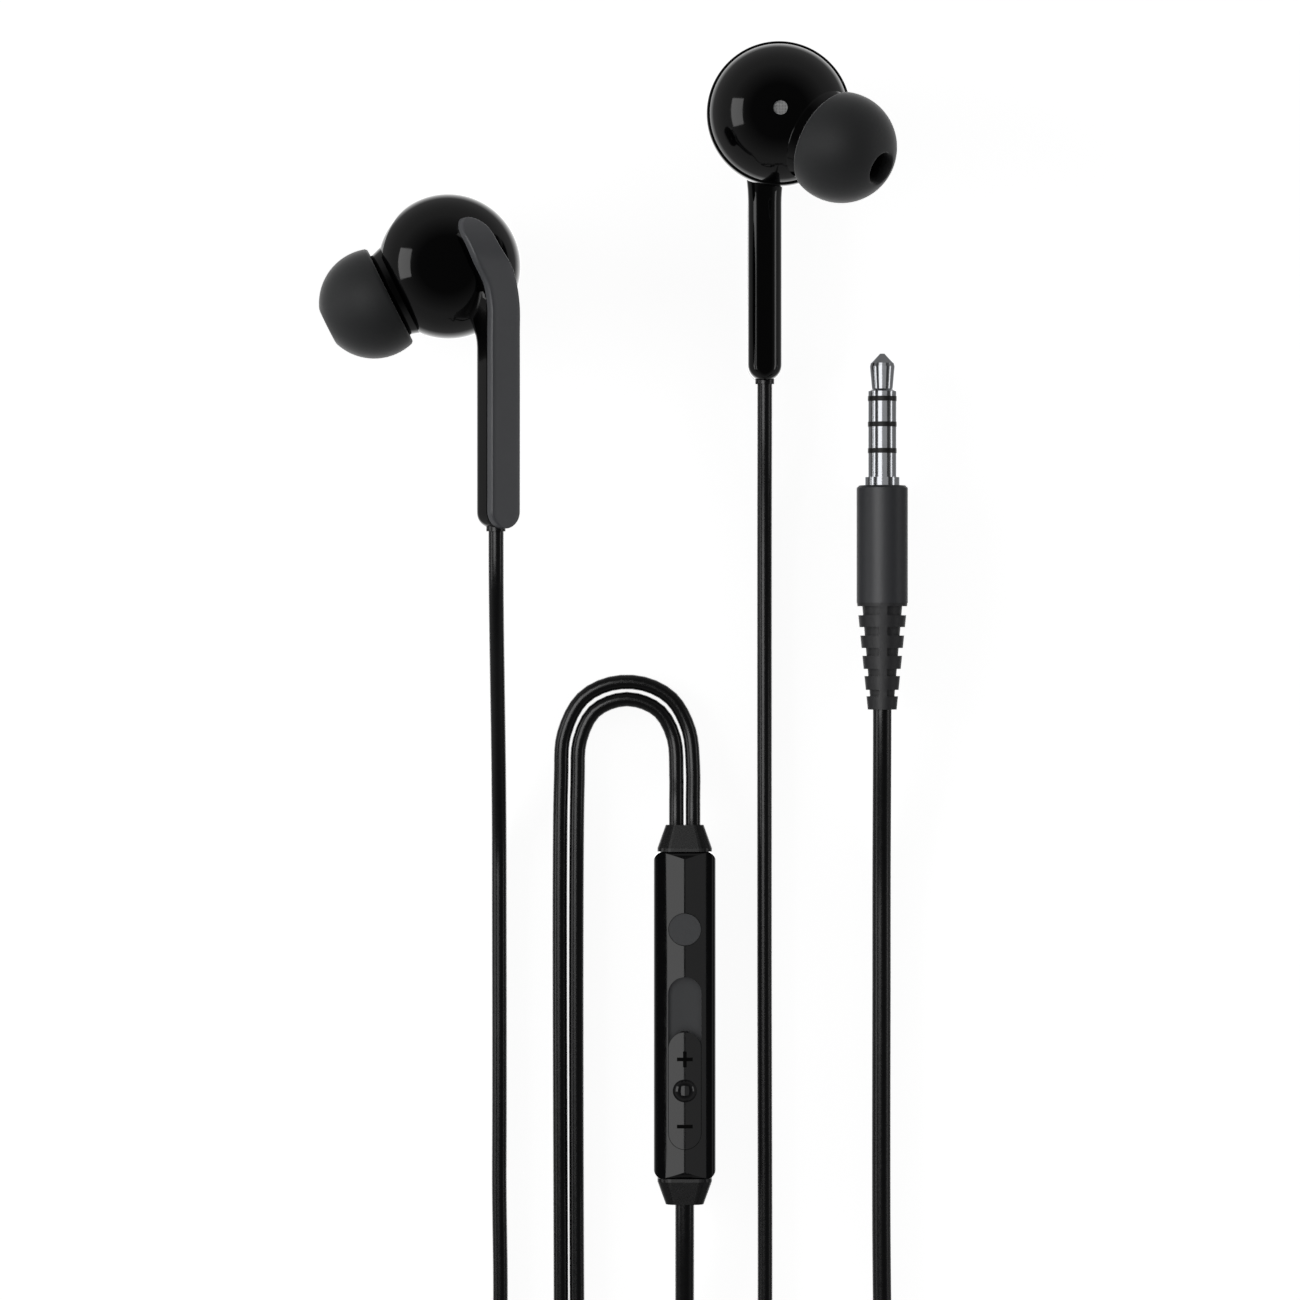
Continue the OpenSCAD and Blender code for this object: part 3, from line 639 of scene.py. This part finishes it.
class EARPHONES_OT_leads(bpy.types.Operator):
    """Lays the two ear leads and the main lead along their routes"""

    bl_idname = "earphones.leads"
    bl_label = "Leads"

    def execute(self, context):
        size = sizes()
        for side, route in (("left", LEFT_ROUTE), ("right", RIGHT_ROUTE)):
            path = smooth_path(in_metres(route), ROUTE_STEP)
            lead = lead_curve(f"{side}_ear_lead", path, size.ear_lead)
            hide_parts(f"{side}_lead")
        whole = START_ROUTE[:-1] + tuple(coil_turns()) + END_ROUTE[1:]
        path = smooth_path(in_metres(whole), ROUTE_STEP)
        lead = lead_curve("main_lead", path, size.main_lead)
        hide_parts("main_lead_start", "main_coil", "main_lead_end")
        return {"FINISHED"}


class EARPHONES_OT_ear_tips(bpy.types.Operator):
    """Turns the two silicone ear tips with rounded rims"""

    bl_idname = "earphones.ear_tips"
    bl_label = "Ear tips"

    def execute(self, context):
        ball = sizes().tip_radius
        rear, mid, front = TIP_REAR, TIP_MID, TIP_FRONT
        mouth, bore, sleeve = TIP_MOUTH, TIP_BORE, TIP_SLEEVE
        rear_angle = math.degrees(math.asin((rear - mid) / ball))
        front_angle = math.degrees(math.asin((front - mid) / ball))
        inner = ball - TIP_SKIRT
        lip = 0.00018
        edge = 0.00015
        outline = arc((0, mid), ball, rear_angle + 2, front_angle - 2.5, 40)
        outline += arc((mouth + lip, front - lip), lip, 75, 180, 6)
        outline += [(mouth, TIP_STOP), (mouth + 0.00005, TIP_STOP - 0.0001), (bore, TIP_STOP - 0.0003),
                    (bore, TIP_SLEEVE_REAR - 0.00005)]
        outline += arc((bore + edge, TIP_SLEEVE_REAR), edge, 180, 270, 4)
        outline += arc((sleeve - edge, TIP_SLEEVE_REAR), edge, 270, 360, 4)
        join = math.degrees(math.acos((sleeve + 0.0004) / inner))
        outline += [(sleeve, mid + inner * math.sin(math.radians(join)) - 0.0004)]
        outline += arc((0, mid), inner, join, math.degrees(math.asin((rear - mid) / inner)) + 3, 30)
        rim_out = Vector((ball * math.cos(math.radians(rear_angle + 2)), rear))
        rim_in = Vector((inner * math.cos(math.asin((rear - mid) / inner)), rear))
        outline += [tuple(rim_in.lerp(rim_out, 0.2)), tuple(rim_in.lerp(rim_out, 0.75))]
        for side in SIDES:
            node = f"{side}_ear_tip"
            axis = Vector(JOINTS[f"{side}_tip_pull"]["axis"]).normalized()
            low, high = (Vector(corner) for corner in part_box(node))
            turn = Vector((0, 0, 1)).rotation_difference(axis).to_matrix().to_4x4()
            mesh = turned(outline, 128)
            mesh.transform(turn)
            span = [Vector(v.co) for v in mesh.vertices]
            own = (Vector([min(p[i] for p in span) for i in range(3)])
                   + Vector([max(p[i] for p in span) for i in range(3)])) / 2
            mesh.transform(Matrix.Translation((low + high) / 2 - own))
            tip = keep(f"{side}_silicone_tip", mesh, silicone(), BODY_OF[node])
            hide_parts(node)
        return {"FINISHED"}


def plate_top(y):
    """Height of the plate's face, flat along the stem and rounding over the pod."""
    start, radius = PLATE_BEND
    if y <= start:
        return -PLATE_TOP
    return -(PLATE_TOP - radius) - math.sqrt(max(radius ** 2 - (y - start) ** 2, 0.01))


def plate_form(inset, top_drop, bottom_drop, edge):
    """A bar with round ends that follows the plate's line, with its upper edge rounded."""
    line = smooth_path([(x, y, 0) for x, y in PLATE_LINE], 0.25)
    half = PLATE_HALF - inset
    first, last = line[1] - line[0], line[-1] - line[-2]
    # The ends' rings start at 4 degrees, so that none closes to a point
    angles = [math.radians(4 + 86 * i / 14) for i in range(14)]
    stations = [(line[0] - first.normalized() * half * math.cos(a), first, half * math.sin(a)) for a in angles]
    for i, point in enumerate(line):
        ahead = line[min(i + 1, len(line) - 1)] - line[max(i - 1, 0)]
        stations.append((point, ahead, half))
    for a in reversed(angles):
        stations.append((line[-1] + last.normalized() * half * math.cos(a), last, half * math.sin(a)))
    rings = []
    for centre, ahead, wide in stations:
        side = Vector((-ahead.y, ahead.x, 0)).normalized()
        round_off = min(edge, wide * 0.45)
        profile = [(-wide, bottom_drop), (-wide, top_drop + round_off)]
        profile += [(-wide + round_off * (1 - math.cos(a)), top_drop + round_off * (1 - math.sin(a)))
                    for a in (math.radians(15 * k) for k in range(1, 7))]
        flat = [(-wide + round_off) * (1 - 2 * k / 10) for k in range(1, 10)]
        profile += [(across, top_drop) for across in flat]
        profile += [(-across, drop) for across, drop in reversed(profile[:8])]
        ring = []
        for across, drop in profile:
            place = centre + side * across
            ring.append(Vector((place.x, place.y, plate_top(place.y) + drop)) * MM)
        rings.append(ring)
    return lofted(rings)


def stem_form():
    """The D-shaped stem as a closed form that flares into the pod and rounds off at its foot."""
    rings = []
    spots = [-3.5 - 0.35 * i for i in range(18)] + [-10 - 2.0 * i for i in range(10)]
    spots += [-29.6 - 1.85 * math.sin(math.radians(90 * i / 14)) for i in range(15)]
    for y in spots:
        reach = max(STEM_ROUND_Y - y, 0)
        half = math.sqrt(max(PLATE_HALF ** 2 - reach ** 2, 0.1))
        heel = min(max(STEM_HEEL_Y - y, 0) / STEM_HEEL_R, 1)
        flare = max((y - FLARE_Y) / FLARE_RUN, 0) ** 2
        back = STEM_BACK + STEM_HEEL_R * (1 - math.sqrt(1 - heel * heel)) - FLARE_RISE * flare
        rise = min(PLATE_HALF, STEM_BED - back - 0.4)
        left_foot = [(-half + STEM_CORNER, -STEM_BED), (-half, -STEM_BED + STEM_CORNER), (-half, -STEM_BED + 0.8)]
        dome = []
        for k in range(25):
            a = math.pi - math.pi * k / 24
            dome.append((half * math.cos(a), -back - rise + rise * math.sin(a)))
        right_foot = [(-across, z) for across, z in reversed(left_foot)]
        ring = []
        for across, z in left_foot + dome + right_foot:
            share = min(max((z + STEM_BED) / (STEM_BED - back), 0), 1)
            swollen = across * (1 + FLARE_SWELL * flare * share / PLATE_HALF)
            ring.append(Vector((STEM_X + swollen, y, z)) * MM)
        rings.append(ring)
    return lofted(rings)


def earpiece_place(side):
    """Where an earpiece lies: the left one on its pod, turned about its stem, the right one on its plate."""
    if side == "left":
        return Matrix.Translation(Vector(LEFT_POD) * MM) @ Matrix.Rotation(math.radians(LEFT_TURN), 4, "Y")
    return Matrix.Translation(Vector(RIGHT_POD) * MM)


class EARPHONES_OT_rear_covers(bpy.types.Operator):
    """Makes the glossy rear covers: a spherical bowl, the plate's bed and the stem that flares into it"""

    bl_idname = "earphones.rear_covers"
    bl_label = "Rear covers and stems"

    def execute(self, context):
        seam = math.degrees(math.asin(POD_SEAM / POD_OUTER))
        inner_seam = math.degrees(math.asin(POD_SEAM / POD_INNER))
        lip = 0.12
        outline = arc((0, 0), POD_OUTER, -90, seam - 1.2, 72)
        outline += arc((POD_OUTER * math.cos(math.radians(seam)) - lip, POD_SEAM - lip), lip, 10, 90, 4)
        outline += arc((0, 0), POD_INNER, inner_seam, -90, 60)
        outline = [(max(r, 0.0) * MM, z * MM) for r, z in outline]
        for side in SIDES:
            bowl = turned(outline, 128)
            cover = joined([bowl, plate_form(0.12, 1.0, 2.9, 0.05), stem_form()])
            cover.transform(earpiece_place(side))
            piece = keep(f"{side}_rear_cover", cover, gloss_abs(), "root")
            cover.set_sharp_from_angle(angle=math.radians(38))
            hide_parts(f"{side}_rear_shell")
        return {"FINISHED"}


class EARPHONES_OT_trim_plates(bpy.types.Operator):
    """Makes the satin plates that run up the stem and curl over the pod"""

    bl_idname = "earphones.trim_plates"
    bl_label = "Trim plates"

    def execute(self, context):
        for side in SIDES:
            mesh = plate_form(0.0, 0.0, 1.0, 0.32)
            mesh.transform(earpiece_place(side))
            piece = keep(f"{side}_satin_plate", mesh, satin_trim(), "root")
            mesh.set_sharp_from_angle(angle=math.radians(38))
            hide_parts(f"{side}_trim_plate")
        return {"FINISHED"}


class EARPHONES_OT_slider_marks(bpy.types.Operator):
    """Adds the plus and minus marks on the volume slider"""

    bl_idname = "earphones.slider_marks"
    bl_label = "Slider marks"

    def execute(self, context):
        low, high = (Vector(corner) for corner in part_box("slider_knob"))
        middle = (low + high) / 2
        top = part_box("volume_slider")[1][2] - SLIDER_CROWN + MARK_PROUD
        marks = (("plus_mark", middle.y + PLUS_Y, True), ("minus_mark", middle.y + MINUS_Y, False))
        for name, y, upright in marks:
            work = bmesh.new()
            bars = [(MARK_ARM, MARK_THICK)] + ([(MARK_THICK, MARK_ARM)] if upright else [])
            for wide, tall in bars:
                grid = bmesh.ops.create_grid(work, x_segments=16, y_segments=4, size=1.0)["verts"]
                for v in grid:
                    x, across = v.co.x * wide, v.co.y * tall
                    v.co = (x, y + across, top + math.sqrt(SLIDER_CROWN ** 2 - x ** 2))
            base = list(work.faces)
            made = bmesh.ops.extrude_face_region(work, geom=base)["geom"]
            for v in (g for g in made if isinstance(g, bmesh.types.BMVert)):
                v.co.z -= MARK_DEEP
            bmesh.ops.recalc_face_normals(work, faces=work.faces)
            mesh = bpy.data.meshes.new(name)
            work.to_mesh(mesh)
            work.free()
            keep(name, mesh, marking(), BODY_OF["volume_slider"], smooth=False)
        return {"FINISHED"}


def spaced(tree, axis, radius, count):
    """A straight curve across the screen along an axis, with a count of evenly spaced points."""
    start = add(tree, "ShaderNodeCombineXYZ", [(axis, maths(tree, "MULTIPLY", radius, -1.0))]).outputs[0]
    end = add(tree, "ShaderNodeCombineXYZ", [(axis, radius)]).outputs[0]
    line = add(tree, "GeometryNodeCurvePrimitiveLine", [("Start", start), ("End", end)])
    return add(tree, "GeometryNodeResampleCurve", [("Curve", line.outputs[0]), ("Count", count)]).outputs[0]


def screen_tree():
    """Geometry Nodes: a round screen of two sets of straight wires that cross in one plane."""
    tree = bpy.data.node_groups.new("wire screen", "GeometryNodeTree")
    face = tree.interface
    face.new_socket("Geometry", in_out="INPUT", socket_type="NodeSocketGeometry")
    for name in ("Radius", "Pitch", "Wire radius"):
        face.new_socket(name, in_out="INPUT", socket_type="NodeSocketFloat")
    face.new_socket("Finish", in_out="INPUT", socket_type="NodeSocketMaterial")
    face.new_socket("Geometry", in_out="OUTPUT", socket_type="NodeSocketGeometry")
    given = add(tree, "NodeGroupInput").outputs
    radius = given["Radius"]
    count = maths(tree, "CEIL", maths(tree, "DIVIDE", maths(tree, "MULTIPLY", radius, 2.0), given["Pitch"]))
    thread = spaced(tree, "X", radius, maths(tree, "MULTIPLY", count, 6.0))
    places = spaced(tree, "Y", radius, count)
    rows = add(tree, "GeometryNodeInstanceOnPoints", [("Points", places), ("Instance", thread)])
    real = add(tree, "GeometryNodeRealizeInstances", [("Geometry", rows.outputs[0])])
    section = add(tree, "GeometryNodeCurvePrimitiveCircle", [("Radius", given["Wire radius"])], in_Resolution=6)
    wires = add(tree, "GeometryNodeCurveToMesh", [
        ("Curve", real.outputs[0]), ("Profile Curve", section.outputs[0])], in_Fill_Caps=True)
    crossed = add(tree, "GeometryNodeTransform", [("Geometry", wires.outputs[0])],
                  in_Rotation=(0.0, 0.0, math.pi / 2))
    both = add(tree, "GeometryNodeJoinGeometry")
    tree.links.new(wires.outputs[0], both.inputs[0])
    tree.links.new(crossed.outputs[0], both.inputs[0])
    place = add(tree, "GeometryNodeInputPosition").outputs[0]
    off = add(tree, "ShaderNodeVectorMath", [(0, place)], operation="LENGTH")
    beyond = add(tree, "FunctionNodeCompare", [(0, off.outputs["Value"]), (1, radius)],
                 operation="GREATER_THAN")
    round_screen = add(tree, "GeometryNodeDeleteGeometry", [
        ("Geometry", both.outputs[0]), ("Selection", beyond.outputs[0])], domain="POINT")
    whole = add(tree, "GeometryNodeRealizeInstances", [("Geometry", round_screen.outputs[0])])
    dressed = add(tree, "GeometryNodeSetMaterial", [("Geometry", whole.outputs[0]), ("Material", given["Finish"])])
    add(tree, "NodeGroupOutput", [("Geometry", dressed.outputs[0])])
    return tree


def screen_disc(name, radius, pitch, wire, finish):
    """Runs the screen tree and returns its result as a plain mesh."""
    tree = bpy.data.node_groups.get("wire screen") or screen_tree()
    holder = bpy.data.objects.new(name, bpy.data.meshes.new(name))
    bpy.context.scene.collection.objects.link(holder)
    modifier = holder.modifiers.new("screen", "NODES")
    modifier.node_group = tree
    ids = {item.name: item.identifier for item in tree.interface.items_tree if item.in_out == "INPUT"}
    for key, value in (("Radius", radius), ("Pitch", pitch), ("Wire radius", wire), ("Finish", finish)):
        modifier[ids[key]] = value
    graph = bpy.context.evaluated_depsgraph_get()
    mesh = bpy.data.meshes.new_from_object(holder.evaluated_get(graph))
    bpy.data.objects.remove(holder)
    return mesh


def vent_axis(side):
    """The way a pod's inner cover faces: from the pod's middle to its vent."""
    swing = math.radians(LEFT_TURN) if side == "left" else 0.0
    return Vector((math.sin(swing), 0, math.cos(swing)))


class EARPHONES_OT_screens(bpy.types.Operator):
    """Makes the steel wire screens of the nozzles and the nylon ones of the vents"""

    bl_idname = "earphones.screens"
    bl_label = "Sound screens"

    def execute(self, context):
        pitch = sizes().wire_pitch
        for side in SIDES:
            nozzle = Vector(JOINTS[f"{side}_tip_pull"]["axis"]).normalized()
            for kind, radius, finish, facing in (
                    ("nozzle", NOZZLE_SCREEN, screen_steel(), nozzle),
                    ("vent", VENT_SCREEN, vent_nylon(), vent_axis(side))):
                node = f"{side}_{kind}_mesh"
                low, high = (Vector(corner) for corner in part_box(node))
                mesh = screen_disc(node, radius, pitch, pitch * WIRE_SHARE, finish)
                turn = Vector((0, 0, 1)).rotation_difference(facing).to_matrix().to_4x4()
                mesh.transform(Matrix.Translation((low + high) / 2) @ turn)
                screen = keep(f"{side}_{kind}_screen", mesh, finish, "root")
                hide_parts(node)
        return {"FINISHED"}


class EARPHONES_OT_finishes(bpy.types.Operator):
    """Gives every remaining frame node its finish"""

    bl_idname = "earphones.finishes"
    bl_label = "Finishes"

    def execute(self, context):
        for name, node in frame["nodes"].items():
            finish = FINISHES[SLOT_OF[name]]()
            for slot in node.material_slots:
                slot.material = finish
        return {"FINISHED"}


class EARPHONES_PT_panel(bpy.types.Panel):
    """Lists the builders of the earphones' pieces"""

    bl_idname = "EARPHONES_PT_panel"
    bl_label = "Wired earphones"
    bl_space_type = "VIEW_3D"
    bl_region_type = "UI"
    bl_category = "Earphones"

    def draw(self, context):
        for step in STEPS:
            self.layout.operator(step.bl_idname)
        for group in (context.scene.earphone_sizes, context.scene.earphone_colours):
            for name in group.__annotations__:
                self.layout.prop(group, name)


STEPS = (
    EARPHONES_OT_stage, EARPHONES_OT_leads, EARPHONES_OT_rear_covers, EARPHONES_OT_trim_plates,
    EARPHONES_OT_ear_tips, EARPHONES_OT_slider_marks, EARPHONES_OT_screens, EARPHONES_OT_finishes,
    EARPHONES_OT_lights,
)
CLASSES = (EarphoneSizes, EarphoneColours) + STEPS + (EARPHONES_PT_panel,)


def register():
    for item in CLASSES:
        bpy.utils.register_class(item)
    bpy.types.Scene.earphone_sizes = bpy.props.PointerProperty(type=EarphoneSizes)
    bpy.types.Scene.earphone_colours = bpy.props.PointerProperty(type=EarphoneColours)


def unregister():
    del bpy.types.Scene.earphone_colours
    del bpy.types.Scene.earphone_sizes
    for item in reversed(CLASSES):
        bpy.utils.unregister_class(item)


def main():
    register()
    for step in STEPS:
        group, name = step.bl_idname.split(".")
        getattr(getattr(bpy.ops, group), name)()


if __name__ == "__main__":
    main()
